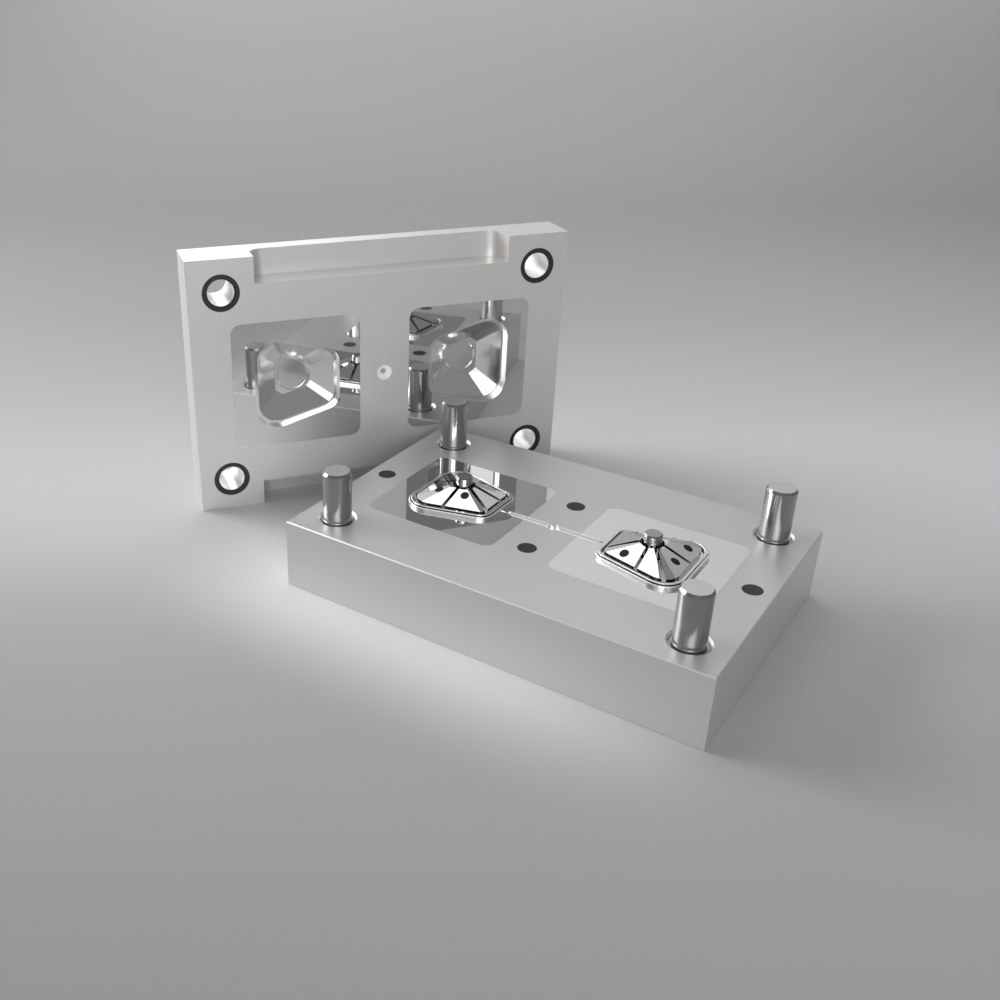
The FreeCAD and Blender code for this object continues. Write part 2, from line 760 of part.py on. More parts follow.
def facet_height(name, x, y):
    """Height of the core's faceted surface above the parting face at a place on it."""
    side = sides[name]
    inset = s.part_wall + s.ledge_width + s.lip_width + s.groove_width
    foot = cut_outline(side, inset)
    crown = trapezoid(side, s.core_top_length / 2, s.core_top_width / 2, s.core_top_cut, s.core_top_cut)
    rise = (s.facet_top - s.facet_foot).value
    heights = [s.facet_top.value]
    for i in range(8):
        start, finish = foot[i - 1], foot[i]
        run_x, run_y = finish[0].value - start[0].value, finish[1].value - start[1].value
        length = hypot(run_x, run_y)
        inward = (-run_y / length, run_x / length)
        across = [(px.value - start[0].value) * inward[0] + (py.value - start[1].value) * inward[1]
                  for px, py in (crown[i - 1], crown[i])]
        here = (x - start[0].value) * inward[0] + (y - start[1].value) * inward[1]
        heights.append(s.facet_foot.value + rise * here / max(across))
    return min(heights)


def ejector_pin(name, number, x, y):
    """An ejector pin whose end is cut to the slope of the facet that it comes out of."""
    radius = s.ejector_pin_diameter.value / 2
    around = [(x + radius * cos(radians(a)), y + radius * sin(radians(a))) for a in range(0, 360, 15)]
    highest = max(facet_height(name, *place) for place in around)
    centre = sides[name] * insert_x
    blank = headed_pin(f"ejector_blank_{name}_{number}", s.ejector_pin_diameter, s.ejector_pin_head_diameter,
                       0.0, 0.0, parting + highest, keep_it=False)
    step = 0.01
    middle = facet_height(name, x, y)
    slope_x = (facet_height(name, x + step, y) - middle) / step
    slope_y = (facet_height(name, x, y + step) - middle) / step
    above = doc.addObject("Part::Feature", f"ejector_cut_{name}_{number}")
    wide = s.ejector_pin_head_diameter.value
    corners = [FreeCAD.Vector(a * wide, b * wide, middle + slope_x * a * wide + slope_y * b * wide)
               for a, b in ((-1, -1), (1, -1), (1, 1), (-1, 1), (-1, -1))]
    above.Shape = Part.Face(Part.makePolygon(corners)).extrude(FreeCAD.Vector(0, 0, 4 * wide))
    above.Placement = at(0.0, 0.0, parting - ejector_top)
    pin = doc.addObject("Part::Cut", f"ejector_pin_{name}_{number}")
    pin.Label = f"ejector_pin_{name}_{number}"
    blank.Placement = at(0.0, 0.0, 0.0)
    pin.Base = blank
    pin.Tool = above
    doc.recompute()
    return keep(pin, at(centre + x, y, ejector_top))


def cap_screw(label, diameter, length, keep_it=False):
    """A socket head screw, head down at Z = 0 and shank upwards, with its hexagon socket."""
    head, head_height = screw_head(diameter)
    body = new_body(label)
    sketch = new_sketch(body, label + "_profile", role="XZ_Plane")
    polygon(sketch, [(0.0, 0.0), (head / 2, 0.0), (head / 2, head_height), (diameter / 2, head_height),
                     (diameter / 2, head_height + length), (0.0, head_height + length)])
    revolve(body, sketch)
    socket = new_sketch(body, label + "_socket")
    across = diameter * 0.46
    polygon(socket, [(across * round(cos(radians(a)), 6), across * round(sin(radians(a)), 6))
                     for a in range(0, 360, 60)])
    pocket(body, socket, head_height * 0.55, up=True)
    return body


def countersunk_screw(label, diameter, length):
    """A countersunk screw, its flat head level with Z = 0 and shank upwards."""
    body = new_body(label)
    head_height = diameter * 0.5
    sketch = new_sketch(body, label + "_profile", role="XZ_Plane")
    polygon(sketch, [(0.0, 0.0), (diameter, 0.0), (diameter / 2, head_height), (diameter / 2, length), (0.0, length)])
    revolve(body, sketch)
    socket = new_sketch(body, label + "_socket")
    across = diameter * 0.36
    polygon(socket, [(across * round(cos(radians(a)), 6), across * round(sin(radians(a)), 6))
                     for a in range(0, 360, 60)])
    pocket(body, socket, head_height * 0.8, up=True)
    return body


def copies(screw, places, base):
    """Links of one screw at each place, for a group."""
    links = []
    for number, (x, y, z) in enumerate(places, start=1):
        link = doc.addObject("App::Link", f"{screw.Label}_{number}")
        link.LinkedObject = screw
        link.Placement = base * at(x, y, z)
        links.append(link)
    return links


def ejector_plates():
    """The retainer plate that holds the pin heads and the ejector plate that pushes them."""
    head, head_height = screw_head(s.ejector_screw_diameter)
    retainer = new_body("ejector_retainer_plate")
    block = new_sketch(retainer, "retainer_block")
    rectangle(block, ejector_length, ejector_width)
    pad(retainer, block, s.retainer_height)
    pins = [(s.return_pin_diameter, s.return_pin_head_diameter, list(return_places.values())),
            (s.sprue_puller_diameter, s.ejector_pin_head_diameter, [(0.0, 0.0)])]
    for name, side in sides.items():
        places = [(side * insert_x + x, y) for x, y in ejectors[name]]
        pins.append((s.ejector_pin_diameter, s.ejector_pin_head_diameter, places))
    for number, (diameter, head_diameter, places) in enumerate(pins, start=1):
        holes = new_sketch(retainer, f"pin_holes_{number}")
        circles(holes, diameter + 2 * s.fixed_gap, places)
        pocket(retainer, holes, s.retainer_height, up=True)
        seats = new_sketch(retainer, f"pin_seats_{number}")
        circles(seats, head_diameter + 2 * s.fixed_gap, places)
        pocket(retainer, seats, s.pin_head_height, up=True)
    taps = new_sketch(retainer, "plate_screw_taps")
    circles(taps, s.ejector_screw_diameter, ejector_screws)
    pocket(retainer, taps, s.retainer_height, up=True)
    keep(retainer, at(0.0, 0.0, ejector_top))

    plate = new_body("ejector_plate")
    block = new_sketch(plate, "ejector_block")
    rectangle(block, ejector_length, ejector_width)
    pad(plate, block, s.ejector_plate_height)
    holes = new_sketch(plate, "screw_holes")
    circles(holes, s.ejector_screw_diameter + 2 * s.fixed_gap, ejector_screws)
    pocket(plate, holes, s.ejector_plate_height, up=True)
    seats = new_sketch(plate, "screw_seats")
    circles(seats, head + 2 * s.fixed_gap, ejector_screws)
    pocket(plate, seats, head_height, up=True)
    knockout = new_sketch(plate, "knockout_tap")
    circles(knockout, s.knockout_tap_diameter, [(0.0, 0.0)])
    pocket(plate, knockout, s.ejector_plate_height, up=True)
    keep(plate, at(0.0, 0.0, cover_top))

    grip = s.ejector_plate_height - head_height + s.retainer_height - s.tap_runout
    screw = cap_screw("ejector_screw", s.ejector_screw_diameter, grip)
    places = [(x, y, cover_top) for x, y in ejector_screws]
    group("ejector_plate_screws", copies(screw, places, at(0.0, 0.0, 0.0)))


def back_cover():
    """The plate that closes the ejector pocket, with the opening for the press's knock-out rod."""
    body = new_body("back_cover")
    block = new_sketch(body, "cover_block")
    rectangle(block, cover_length, cover_width)
    pad(body, block, s.back_cover_height)
    opening = new_sketch(body, "knockout_opening")
    circles(opening, s.knockout_hole_diameter, [(0.0, 0.0)])
    pocket(body, opening, s.back_cover_height, up=True)
    holes = new_sketch(body, "cover_screw_holes")
    circles(holes, s.cover_screw_diameter + 2 * s.fixed_gap, cover_screws)
    pocket(body, holes, s.back_cover_height, up=True)
    radius = (s.cover_screw_diameter / 2 + s.fixed_gap).value

    def screw_rim(edge):
        curve = edge.Curve
        return abs(edge.BoundBox.ZMax) < 1e-4 and isinstance(curve, Part.Circle) and abs(curve.Radius - radius) < 1e-4

    chamfer_edges(body, s.cover_screw_diameter / 2, screw_rim)
    keep(body, at(0.0, 0.0, 0.0))
    screw = countersunk_screw("cover_screw", s.cover_screw_diameter, s.cover_screw_length)
    group("back_cover_screws", copies(screw, [(x, y, 0.0) for x, y in cover_screws], at(0.0, 0.0, 0.0)))


def core_screws(name):
    centre = sides[name] * insert_x
    head, head_height = screw_head(s.insert_screw_diameter)
    length = insert_base - pocket_top - head_height + s.insert_screw_grip
    screw = cap_screw(f"core_insert_screw_{name}", s.insert_screw_diameter, length)
    places = [(centre + x, y, pocket_top) for x, y in insert_screws]
    group(f"core_insert_screws_{name}", copies(screw, places, at(0.0, 0.0, 0.0)))


# The standing half is modelled face up about its face's middle and then stood on its long edge
turn = FreeCAD.Rotation(FreeCAD.Vector(0, 0, 1), s.stand_turn.value)
stand = turn * FreeCAD.Rotation(FreeCAD.Vector(1, 0, 0), 90)
along = turn.multVec(FreeCAD.Vector(s.plate_length.value / 2, 0, 0))
corner = FreeCAD.Vector(s.stand_x.value, s.stand_y.value, s.plate_width.value / 2)
standing = FreeCAD.Placement(corner + along, stand)


def cavity_plate():
    """The standing half's plate: notched long edges, insert pockets, bush and sprue holes."""
    body = new_body("cavity_plate")
    thickness = s.cavity_plate_thickness
    block = new_sketch(body, "block")
    rectangle(block, s.plate_length, s.plate_width)
    pad(body, block, thickness, down=True)
    half_length, half_width = s.plate_length.value / 2, s.plate_width.value / 2

    notches = new_sketch(body, "edge_notches")
    for sign in (-1.0, 1.0):
        middle = sign * (s.plate_width - s.notch_height) / 2
        rectangle(notches, s.notch_length, s.notch_height, y=middle)
    pocket(body, notches, s.notch_depth)

    def notch_corner(edge):
        box = edge.BoundBox
        level = abs(box.ZMin + s.notch_depth.value) < 1e-4 and abs(box.ZMax + s.notch_depth.value) < 1e-4
        return level and box.XLength < 1e-4 and abs(abs(box.Center.x) - s.notch_length.value / 2) < 1e-4

    fillet_edges(body, s.notch_corner_radius, notch_corner)
    top_rim = rim_rule(0.0, half_length, half_width)
    back_rim = rim_rule(-thickness.value, half_length, half_width)
    chamfer_edges(body, s.plate_chamfer, lambda edge: top_rim(edge) or back_rim(edge))

    seats = new_sketch(body, "insert_seats")
    wide = insert_side + 2 * s.insert_gap
    for side in sides.values():
        rectangle(seats, wide, wide, x=side * insert_x)
    pocket(body, seats, s.cavity_insert_thickness)
    fillet_edges(body, s.insert_corner_radius, seat_corner(-s.cavity_insert_thickness.value, 0.0))

    bushes = new_sketch(body, "bush_holes")
    circles(bushes, s.bush_diameter + 2 * s.fixed_gap, guide_places)
    pocket(body, bushes, thickness)
    bush_heads = new_sketch(body, "bush_head_seats", height=-thickness)
    circles(bush_heads, s.bush_head_diameter + 2 * s.fixed_gap, guide_places)
    pocket(body, bush_heads, s.bush_head_height, up=True)
    sprue = new_sketch(body, "sprue_hole")
    circles(sprue, s.sprue_bush_diameter + 2 * s.fixed_gap, [(0.0, 0.0)])
    pocket(body, sprue, thickness)
    sprue_head = new_sketch(body, "sprue_head_seat", height=-thickness)
    circles(sprue_head, s.sprue_bush_head_diameter + 2 * s.fixed_gap, [(0.0, 0.0)])
    pocket(body, sprue_head, s.sprue_bush_head_height, up=True)

    head, head_height = screw_head(s.insert_screw_diameter)
    places = [(side * insert_x + x, y) for side in sides.values() for x, y in insert_screws]
    screws = new_sketch(body, "insert_screw_holes", height=-thickness)
    circles(screws, s.insert_screw_diameter + 2 * s.fixed_gap, places)
    pocket(body, screws, thickness - s.cavity_insert_thickness, up=True)
    heads = new_sketch(body, "insert_screw_seats", height=-thickness)
    circles(heads, head + 2 * s.fixed_gap, places)
    pocket(body, heads, head_height, up=True)
    clamps = new_sketch(body, "clamp_taps", height=-thickness)
    circles(clamps, s.clamp_tap_diameter, clamp_places)
    pocket(body, clamps, s.clamp_tap_depth, up=True)
    return keep(body, standing)


def rounded_outline_wire(side, inset, height):
    """The rounded trapezoid as a wire of four straight runs and four arcs."""
    arcs = corner_arcs(side, inset, height)
    edges = []
    for i, (start, middle, finish, centre, size) in enumerate(arcs):
        edges.append(Part.Arc(start, middle, finish).toShape())
        edges.append(Part.LineSegment(finish, arcs[(i + 1) % 4][0]).toShape())
    return Part.Wire(edges)


def cut_wire(corners, height):
    """A closed wire through plan corners at one height."""
    places = [FreeCAD.Vector(x.value, y.value, height) for x, y in corners]
    return Part.makePolygon(places + [places[0]])


def cavity_insert(name):
    """A mirror-polished insert with the faceted cavity sunk in it."""
    side = sides[name]
    body = new_body(f"cavity_block_{name}")
    block = new_sketch(body, "block")
    rectangle(block, insert_side, insert_side)
    pad(body, block, s.cavity_insert_thickness, down=True)
    fillet_edges(body, s.insert_corner_radius, upright)
    rim = new_sketch(body, "cavity_rim")
    outline(rim, side, 0.0)
    pocket(body, rim, cavity_wall)

    bowl = doc.addObject("Part::Feature", f"cavity_bowl_{name}")
    top, bottom = -cavity_wall.value, -s.cavity_depth.value
    rim_loop = cut_wire(cut_outline(side, s.cavity_ring), top)
    floor_corners = trapezoid(side, s.floor_length / 2, s.floor_width / 2, s.floor_outer_cut, s.floor_inner_cut)
    facets = Part.makeLoft([rim_loop, cut_wire(floor_corners, bottom)], True, True)
    rounded = Part.Face(rounded_outline_wire(side, s.cavity_ring, top))
    prism = rounded.extrude(FreeCAD.Vector(0, 0, bottom - top))
    bowl.Shape = facets.common(prism)
    hollow = doc.addObject("Part::Cut", f"cavity_hollow_{name}")
    hollow.Base = body
    hollow.Tool = bowl
    doc.recompute()

    bore = doc.addObject("Part::Cylinder", f"cavity_pin_bore_{name}")
    bind(bore, "Radius", s.cavity_pin_diameter / 2 + s.fixed_gap)
    bind(bore, "Height", s.cavity_insert_thickness - s.cavity_depth + s.tap_runout)
    bind(bore, "Placement.Base.z", -s.cavity_insert_thickness)
    seat = doc.addObject("Part::Cylinder", f"cavity_pin_seat_{name}")
    bind(seat, "Radius", s.cavity_pin_head_diameter / 2 + s.fixed_gap)
    bind(seat, "Height", s.cavity_pin_head_height)
    bind(seat, "Placement.Base.z", -s.cavity_insert_thickness)
    mouth = doc.addObject("Part::Cone", f"cavity_pin_bevel_{name}")
    bind(mouth, "Radius1", s.cavity_pin_diameter / 2 + s.fixed_gap)
    bind(mouth, "Radius2", s.cavity_pin_diameter / 2 + s.fixed_gap + 2 * s.shutoff_bevel)
    bind(mouth, "Height", 2 * s.shutoff_bevel)
    bind(mouth, "Placement.Base.z", -s.cavity_depth - s.shutoff_bevel)
    tools = [bore, mouth, seat]
    for number, (x, y) in enumerate(insert_screws, start=1):
        tap = doc.addObject("Part::Cylinder", f"cavity_tap_{name}_{number}")
        bind(tap, "Radius", s.insert_screw_diameter / 2)
        bind(tap, "Height", s.insert_screw_grip + s.tap_runout)
        bind(tap, "Placement.Base.x", x)
        bind(tap, "Placement.Base.y", y)
        bind(tap, "Placement.Base.z", -s.cavity_insert_thickness)
        tools.append(tap)
    fused = doc.addObject("Part::MultiFuse", f"cavity_bores_{name}")
    fused.Shapes = tools
    insert = doc.addObject("Part::Cut", f"cavity_insert_{name}")
    insert.Label = f"cavity_insert_{name}"
    insert.Base = hollow
    insert.Tool = fused
    doc.recompute()
    return keep(insert, standing * at(side * insert_x, 0.0, 0.0))


def cavity_pin(name):
    """The round pin whose end is the middle of the cavity floor, seating on the core's boss."""
    length = s.cavity_insert_thickness - s.cavity_depth - s.shutoff_recess
    head, radius = s.cavity_pin_head_diameter / 2, s.cavity_pin_diameter / 2
    profile = [(0.0, 0.0), (head, 0.0), (head, s.cavity_pin_head_height), (radius, s.cavity_pin_head_height),
               (radius, length), (0.0, length)]
    place = at(sides[name] * insert_x, 0.0, -s.cavity_insert_thickness)
    return turned(f"cavity_pin_{name}", profile, standing * place)


def guide_bush(name, x, y):
    """A headed guide bush with a bevelled mouth at the parting face."""
    inner = s.guide_pin_diameter / 2 + s.guide_running_gap
    outer, head = s.bush_diameter / 2, s.bush_head_diameter / 2
    length, lead = s.cavity_plate_thickness, s.bush_lead_in
    profile = [(inner, 0.0), (head, 0.0), (head, s.bush_head_height), (outer, s.bush_head_height),
               (outer, length), (inner + lead, length), (inner, length - lead)]
    return turned(f"guide_bush_{name}", profile, standing * at(x, y, -s.cavity_plate_thickness))


def sprue_bush():
    """The sprue bush: a tapered bore, a polished flare at the face and a round nozzle seat behind."""
    length = s.cavity_plate_thickness
    outer, head = s.sprue_bush_diameter / 2, s.sprue_bush_head_diameter / 2
    small, large, flare = s.sprue_small_diameter / 2, s.sprue_large_diameter / 2, s.sprue_flare_diameter / 2
    seat_depth = s.nozzle_seat_depth
    profile = [(small, 0.0), (head, 0.0), (head, s.sprue_bush_head_height), (outer, s.sprue_bush_head_height),
               (outer, length), (flare, length), (large, length - s.sprue_flare_depth), (small, seat_depth)]
    body = turned("sprue_bush_blank", profile, keep_it=False)
    seat = doc.addObject("Part::Sphere", "nozzle_seat")
    bind(seat, "Radius", s.nozzle_seat_radius)
    bind(seat, "Placement.Base.z", seat_depth - s.nozzle_seat_radius)
    cut = doc.addObject("Part::Cut", "sprue_bush_cut")
    cut.Label = "sprue_bush"
    cut.Base = body
    cut.Tool = seat
    doc.recompute()
    return keep(cut, standing * at(0.0, 0.0, -length))


def cavity_screws(name):
    centre = sides[name] * insert_x
    head, head_height = screw_head(s.insert_screw_diameter)
    length = s.cavity_plate_thickness - s.cavity_insert_thickness - head_height + s.insert_screw_grip
    screw = cap_screw(f"cavity_insert_screw_{name}", s.insert_screw_diameter, length)
    places = [(centre + x, y, -s.cavity_plate_thickness) for x, y in insert_screws]
    group(f"cavity_insert_screws_{name}", copies(screw, places, standing))


# Core half
core_plate()
for side_name in sides:
    core_insert(side_name)
    core_pin(side_name)
    core_screws(side_name)
    for count, (pin_x, pin_y) in enumerate(ejectors[side_name], start=1):
        ejector_pin(side_name, count, pin_x, pin_y)
for corner_name, (pin_x, pin_y) in zip(("front_left", "front_right", "rear_left", "rear_right"), guide_places):
    guide_pin(corner_name, pin_x, pin_y)
for pin_name, (pin_x, pin_y) in return_places.items():
    headed_pin(f"return_pin_{pin_name}", s.return_pin_diameter, s.return_pin_head_diameter, pin_x, pin_y, parting)
headed_pin("sprue_puller", s.sprue_puller_diameter, s.ejector_pin_head_diameter, 0.0, 0.0,
           parting - s.slug_well_depth)
ejector_plates()
back_cover()

# Cavity half
cavity_plate()
for side_name in sides:
    cavity_insert(side_name)
    cavity_pin(side_name)
    cavity_screws(side_name)
for corner_name, (pin_x, pin_y) in zip(("lower_left", "lower_right", "upper_left", "upper_right"), guide_places):
    guide_bush(corner_name, pin_x, pin_y)
sprue_bush()

doc.recompute()
for obj in doc.Objects:
    if "Invalid" in obj.State or "Error" in obj.State:
        raise RuntimeError(f"{obj.Label} failed: {obj.State}")
for piece in pieces:
    if piece.Shape.isNull() or not piece.Shape.isValid() or not piece.Shape.Solids:
        raise RuntimeError(f"{piece.Label} has no valid solid")
os.makedirs("parts", exist_ok=True)
for piece in pieces:
    piece.Shape.exportStep(f"parts/{piece.Label}.step")
    print(piece.Label, len(piece.Shape.Solids), round(piece.Shape.Volume, 1))
print("pieces:", len(pieces))
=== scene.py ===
import json
import math

import bpy
import numpy as np
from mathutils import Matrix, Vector

# Looks of the two-cavity injection mould. Lengths in metres, +Z up, the flat core half's
# underside at Z = 0.

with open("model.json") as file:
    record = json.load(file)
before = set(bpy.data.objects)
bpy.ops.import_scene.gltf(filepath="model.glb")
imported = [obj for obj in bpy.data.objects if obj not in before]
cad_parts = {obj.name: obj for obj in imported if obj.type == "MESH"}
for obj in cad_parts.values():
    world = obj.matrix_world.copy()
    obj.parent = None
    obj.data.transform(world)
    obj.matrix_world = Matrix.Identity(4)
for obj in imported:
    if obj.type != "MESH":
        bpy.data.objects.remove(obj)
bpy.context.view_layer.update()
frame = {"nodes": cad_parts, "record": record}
nodes = frame["nodes"]
print("frame loaded:", len(nodes), "nodes")

# The flat half's parting face, the standing half's turn about Z in degrees, and the depth within
# which a polygon still counts as part of a flat face
mouldPlace = {"parting": 0.050, "turn": 53.0, "skin": 0.00005}
mouldTurn = math.radians(mouldPlace["turn"])
parting, skin = mouldPlace["parting"], mouldPlace["skin"]
upward = Vector((0, 0, 1))
outward = Vector((math.sin(mouldTurn), -math.cos(mouldTurn), 0))


# Materials

# A new material, its node tree and its shader
def newMaterial(name):
    material = bpy.data.materials.new(name)
    material.use_nodes = True
    tree = material.node_tree
    shader = next(node for node in tree.nodes if node.type == "BSDF_PRINCIPLED")
    return material, tree, shader


def grey(level, warmth=0.0):
    return (level * (1 + warmth), level, level * (1 - warmth), 1.0)


groundSteelLook = {
    "grey": 0.74,
    "grey_variation": 0.02,
    "warmth": 0.018,
    "metallic": 0.75,
    "roughness": 0.42,
    "roughness_variation": 0.04,
    "grain_length": 9.0,
    "grain_width": 900.0,
    "grain_detail": 2.0,
    "grain_strength": 0.04,
    "grain_height": 0.0002,
}


# Finely ground steel: long thin grinding lines in the roughness, height and tone
def groundSteel(name, look):
    material, tree, shader = newMaterial(name)
    shader.inputs["Metallic"].default_value = look["metallic"]
    coordinates = tree.nodes.new("ShaderNodeTexCoord")
    stretch = tree.nodes.new("ShaderNodeVectorMath")
    stretch.operation = "MULTIPLY"
    across = look["grain_width"]
    stretch.inputs[1].default_value = (look["grain_length"], across, across)
    grain = tree.nodes.new("ShaderNodeTexNoise")
    grain.inputs["Scale"].default_value = 1.0
    grain.inputs["Detail"].default_value = look["grain_detail"]
    tree.links.new(coordinates.outputs["Object"], stretch.inputs[0])
    tree.links.new(stretch.outputs["Vector"], grain.inputs["Vector"])
    tone = tree.nodes.new("ShaderNodeMix")
    tone.data_type = "RGBA"
    level, change = look["grey"], look["grey_variation"]
    tone.inputs["A"].default_value = grey(level - change, look["warmth"])
    tone.inputs["B"].default_value = grey(level + change, look["warmth"])
    rough = tree.nodes.new("ShaderNodeMapRange")
    rough.inputs["To Min"].default_value = look["roughness"] - look["roughness_variation"]
    rough.inputs["To Max"].default_value = look["roughness"] + look["roughness_variation"]
    bump = tree.nodes.new("ShaderNodeBump")
    bump.inputs["Strength"].default_value = look["grain_strength"]
    bump.inputs["Distance"].default_value = look["grain_height"]
    tree.links.new(grain.outputs["Fac"], tone.inputs["Factor"])
    tree.links.new(grain.outputs["Fac"], rough.inputs["Value"])
    tree.links.new(grain.outputs["Fac"], bump.inputs["Height"])
    tree.links.new(tone.outputs["Result"], shader.inputs["Base Color"])
    tree.links.new(rough.outputs["Result"], shader.inputs["Roughness"])
    tree.links.new(bump.outputs["Normal"], shader.inputs["Normal"])
    return material


plainWarmth = 0.01


# Steel of one tone, from a look's grey, roughness and metallic share. A look that holds several
# finishes has a part's name in front of grey and roughness.
def plainSteel(name, look, part=""):
    material, tree, shader = newMaterial(name)
    shader.inputs["Base Color"].default_value = grey(look[part + "grey"], plainWarmth)
    shader.inputs["Metallic"].default_value = look.get("metallic", 1.0)
    shader.inputs["Roughness"].default_value = look[part + "roughness"]
    return material


plainLooks = {
    "polished": {"grey": 0.80, "roughness": 0.03},
    "hardened": {"grey": 0.40, "roughness": 0.18},
    # Painted highlight: the bushes' steel is near white and half matte, so their bores read bright
    "bush": {"grey": 0.97, "roughness": 0.35, "metallic": 0.5},
    "bright": {"grey": 0.95, "roughness": 0.40},
    "pin": {"grey": 0.06, "roughness": 0.45},
    "screw": {"grey": 0.05, "roughness": 0.4},
}
finishes = {"ground_steel": groundSteel("groundSteel", groundSteelLook)}
for kind, look in plainLooks.items():
    finishes[kind + "_steel"] = plainSteel(kind + "Steel", look)
slotOf = {part["node"]: part["material_slot"] for part in frame["record"]["subparts"]}
for name, obj in nodes.items():
    obj.data.materials.clear()
    obj.data.materials.append(finishes[slotOf[name]])

# The flat half's plate is painted a shade darker and cooler than the standing one: painted shade on
# the same ground steel
shadedCoreGroundLook = dict(groundSteelLook, grey=0.64, warmth=0.008)
nodes["core_plate"].data.materials[0] = groundSteel("shadedCoreGroundSteel", shadedCoreGroundLook)


# Gives a node's polygons a second finish where a rule on their centre and normal holds
def refinish(obj, material, rule):
    obj.data.materials.append(material)
    index = len(obj.data.materials) - 1
    for polygon in obj.data.polygons:
        if rule(polygon.center, polygon.normal):
            polygon.material_index = index


# How far the node's outermost place lies along the standing half's parting direction
def outermost(obj):
    return max(vertex.co.dot(outward) for vertex in obj.data.vertices)


# The bushes' end faces and lead-ins are dark, their bores painted near white as a painted highlight
bushLook = {"face_grey": 0.07, "face_roughness": 0.4, "face_slope": 0.5, "face_reach": 0.0011}
bushFaceSteel = plainSteel("bushFaceSteel", bushLook, "face_")
for name, obj in nodes.items():
    if name.startswith("guide_bush"):
        front = outermost(obj) - bushLook["face_reach"]
        refinish(obj, bushFaceSteel, lambda centre, normal: (
            normal.dot(outward) > bushLook["face_slope"] and centre.dot(outward) > front))

# The rings round the cores have satin walls, edges painted near white as a painted highlight, and a
# groove inside painted near black as painted shade. Their outline is the moulding's: straight sides
# that lean by the taper, joined by arcs, so the inset of a place is its distance to the nearest
# side, or inside a corner the corner's radius less the distance to the arc's centre. Slopes are
# limits on the Z part of a normal, heights are above the parting face.
ringLook = {
    "wall_grey": 0.65,
    "wall_roughness": 0.35,
    # Painted highlight: the ring's edges are near white
    "edge_grey": 0.95,
    "edge_roughness": 0.3,
    # Painted shade: the groove and the slot floor round the boss are near black
    "groove_grey": 0.04,
    "groove_roughness": 0.4,
    "slot_grey": 0.8,
    "slot_roughness": 0.4,
    "centre_x": 0.070,
    "half_length": 0.0335,
    "half_width": 0.032,
    "taper": 0.277,
    "outer_radius": 0.018,
    "inner_radius": 0.013,
    "top": 0.0035,
    "wall_slope": 0.1,
    "edge_slope": 0.97,
    "groove_inset": 0.0034,
    "groove_slope": 0.2,
    "groove_height": 0.003,
    "slot_inset": 0.0057,
    "slot_floor": 0.0024,
    "slot_reach": 0.0002,
    "slot_slope": 0.9,
    "boss_reach": 0.008,
}


def outlineInset(x, y, look):
    slant = math.hypot(1.0, look["taper"])
    insets = []
    for lean, radius in ((1, look["outer_radius"]), (-1, look["inner_radius"])):
        toEnd = look["half_length"] - lean * x
        for sign in (-1, 1):
            toSide = (look["half_width"] + look["taper"] * x - sign * y) / slant
            inset = min(toEnd, toSide)
            if toEnd < radius and toSide < radius:
                cornerX = lean * (look["half_length"] - radius)
                sideY = look["half_width"] + look["taper"] * cornerX
                cornerY = sign * (sideY - radius * slant)
                inset = radius - math.hypot(x - cornerX, y - cornerY)
            insets.append(inset)
    return min(insets)


# Which of the ring's finishes a polygon takes, or none
def ringPart(side, look, centre, normal):
    height = centre.z - parting
    if not skin < height < look["top"]:
        return None
    fromMiddle = side * centre.x - look["centre_x"]
    inset = outlineInset(fromMiddle, centre.y, look)
    if inset > look["slot_inset"]:
        offFloor = abs(height - look["slot_floor"])
        if normal.z <= look["slot_slope"] or offFloor >= look["slot_reach"]:
            return None
        # The slot floor round the boss takes the groove's painted shade
        atBoss = math.hypot(fromMiddle, centre.y) < look["boss_reach"]
        return "groove" if atBoss else "slot"
    slope = abs(normal.z)
    inGroove = slope < look["groove_slope"] or height < look["groove_height"]
    if inset > look["groove_inset"] and inGroove:
        return "groove"
    if slope < look["wall_slope"]:
        return "wall"
    return "edge" if slope < look["edge_slope"] else None


for part in ("wall", "edge", "groove", "slot"):
    steel = plainSteel(part + "Steel", ringLook, part + "_")
    for name, side in (("core_insert_left", -1), ("core_insert_right", 1)):
        refinish(nodes[name], steel, lambda centre, normal: (
            ringPart(side, ringLook, centre, normal) == part))

# The left core insert's flat face is painted a shade darker than its facets: painted shade on its
# mirror face
shadedInsertFaceLook = {"grey": 0.69, "roughness": 0.03, "slope": 0.9}
shadedInsertFaceSteel = plainSteel("shadedInsertFaceSteel", shadedInsertFaceLook)
refinish(nodes["core_insert_left"], shadedInsertFaceSteel, lambda centre, normal: (
    normal.z > shadedInsertFaceLook["slope"] and abs(centre.z - parting) < skin))

# The runner and its slug well are satin and painted near white, a painted highlight
runnerLook = {"grey": 0.95, "roughness": 0.35, "depth": 0.0035, "half_width": 0.0027,
              "half_length": 0.0345, "well_radius": 0.0046}
runnerHighlightSteel = plainSteel("runnerHighlightSteel", runnerLook)


def inRunner(centre, normal):
    if not parting - runnerLook["depth"] < centre.z < parting - skin:
        return False
    inWidth = abs(centre.y) < runnerLook["half_width"]
    inLength = abs(centre.x) < runnerLook["half_length"]
    inWell = math.hypot(centre.x, centre.y) < runnerLook["well_radius"]
    return (inWidth and inLength) or inWell


for name in ("core_plate", "core_insert_left", "core_insert_right"):
    refinish(nodes[name], runnerHighlightSteel, inRunner)

